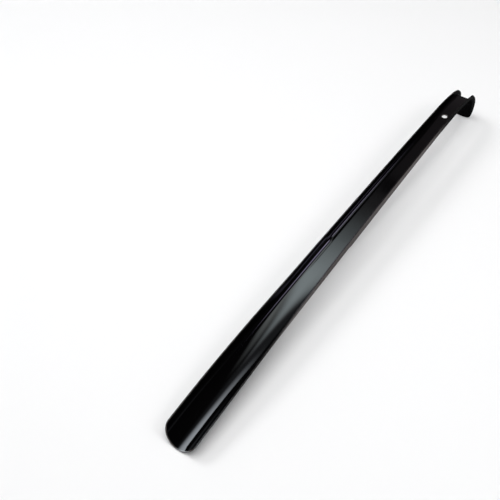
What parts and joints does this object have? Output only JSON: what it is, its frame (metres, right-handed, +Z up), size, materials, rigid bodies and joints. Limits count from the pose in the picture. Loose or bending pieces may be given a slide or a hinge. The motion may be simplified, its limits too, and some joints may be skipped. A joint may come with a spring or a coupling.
{
  "type": "long shoehorn",
  "caption": "Long-handled shoehorn pressed from one steel strip: a rounded heel scoop, a channel handle, a hanging hole and a turned-over hook.",
  "frame": {"origin": "middle of the bounding box in plan, on the plane that the shoehorn lies on, hollow side up", "axes": "+X along the shoehorn from the heel scoop to the hook, +Y across it to its left side, +Z up from the resting plane"},
  "size_m": [0.6016, 0.0376, 0.0501],
  "materials": {
    "gloss_black_coat": "smooth gloss black coat on steel sheet"
  },
  "bodies": {
    "root": {"pressed_steel_body": "gloss_black_coat"}
  },
  "joints": []
}
